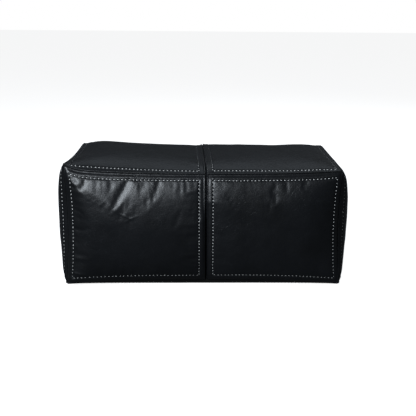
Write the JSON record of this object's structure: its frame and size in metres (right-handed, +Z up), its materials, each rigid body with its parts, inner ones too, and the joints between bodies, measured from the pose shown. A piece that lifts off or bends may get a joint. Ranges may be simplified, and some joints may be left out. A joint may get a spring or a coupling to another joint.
{
  "type": "leather floor pouf",
  "caption": "Long rectangular stitched leather floor pouf, softly stuffed, with contrast topstitching and a zip in its base.",
  "frame": {"origin": "on the floor under the middle of the pouf", "axes": "+X along the length towards the closed zip's slider, -Y out of the front, +Z up"},
  "size_m": [0.814, 0.4314, 0.3413],
  "materials": {
    "cover_leather": "dyed black goat leather, semi-gloss, fine pebble grain with soft creases",
    "base_leather": "dyed black leather, flatter and duller, scuffed where it meets the floor",
    "topstitch_thread": "waxed off-white cotton thread, 0.8 mm",
    "seam_thread": "black polyester sewing thread",
    "zip_tape": "black woven herringbone tape",
    "zip_brass": "plain antique brass",
    "lining_calico": "unbleached plain-weave calico",
    "stuffing_wadding": "loose cotton and polyester wadding"
  },
  "bodies": {
    "cover": {"base_front_panel": "base_leather", "base_front_topstitch": "topstitch_thread", "base_rear_panel": "base_leather", "base_rear_topstitch": "topstitch_thread", "base_seam_thread": "seam_thread", "centre_seam_thread": "seam_thread", "corner_seam_thread": "seam_thread", "front_left_panel": "cover_leather", "front_left_topstitch": "topstitch_thread", "front_right_panel": "cover_leather", "front_right_topstitch": "topstitch_thread", "left_end_panel": "cover_leather", "left_end_topstitch": "topstitch_thread", "lining_bag": "lining_calico", "rear_left_panel": "cover_leather", "rear_left_topstitch": "topstitch_thread", "rear_right_panel": "cover_leather", "rear_right_topstitch": "topstitch_thread", "right_end_panel": "cover_leather", "right_end_topstitch": "topstitch_thread", "stuffing": "stuffing_wadding", "top_left_panel": "cover_leather", "top_left_topstitch": "topstitch_thread", "top_right_panel": "cover_leather", "top_right_topstitch": "topstitch_thread", "top_seam_thread": "seam_thread", "zip_bottom_stop": "zip_brass", "zip_tape_front": "zip_tape", "zip_tape_rear": "zip_tape", "zip_teeth_front": "zip_brass", "zip_teeth_rear": "zip_brass", "zip_top_stops": "zip_brass"},
    "slider": {"zip_slider": "zip_brass"},
    "pull": {"zip_pull": "zip_brass"}
  },
  "joints": [
    {"name": "zip_slide", "type": "slide", "parent": "cover", "child": "slider", "axis": [-1, 0, 0], "range_m": [0, 0.52], "deforming": ["zip_teeth_front", "zip_teeth_rear"]},
    {"name": "pull_swing", "type": "hinge", "parent": "slider", "child": "pull", "pos_m": [0.26225, 0, 0.0118], "axis": [0, -1, 0], "range_deg": [-18, 140]}
  ]
}
